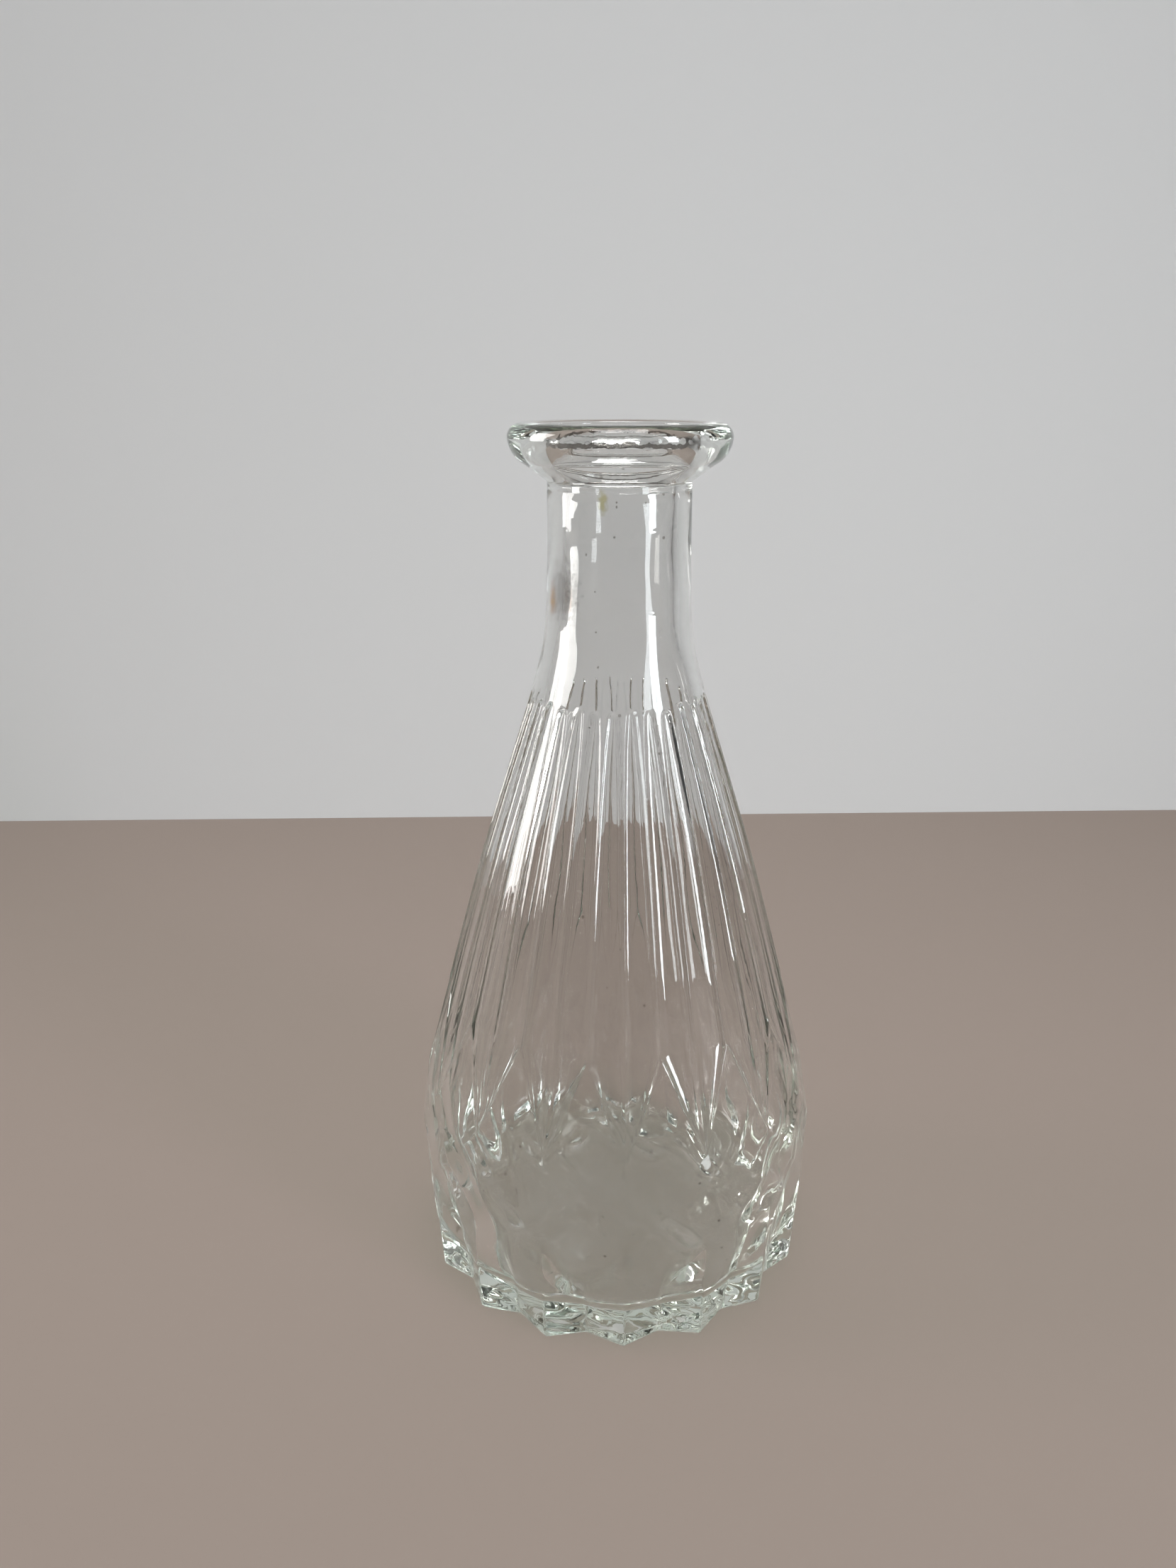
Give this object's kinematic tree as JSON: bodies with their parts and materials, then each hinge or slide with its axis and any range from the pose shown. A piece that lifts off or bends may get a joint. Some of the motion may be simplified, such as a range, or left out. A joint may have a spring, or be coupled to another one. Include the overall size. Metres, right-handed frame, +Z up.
{
  "type": "glass bud vase",
  "caption": "Clear pressed-glass bud vase with a scalloped thick base, a belt of diamond facets, a tapering fluted body, a plain narrow neck and a heavy rolled lip.",
  "frame": {"origin": "centre of the resting face, on the vase's axis", "axes": "+Z up along the vase's axis; one ridge of the scalloped foot points along -Y"},
  "size_m": [0.0866, 0.0866, 0.18],
  "materials": {
    "glass": "clear polished pressed glass"
  },
  "bodies": {
    "root": {"base": "glass", "facet_belt": "glass", "fluted_body": "glass", "shoulder": "glass", "neck": "glass", "lip": "glass"}
  },
  "joints": []
}
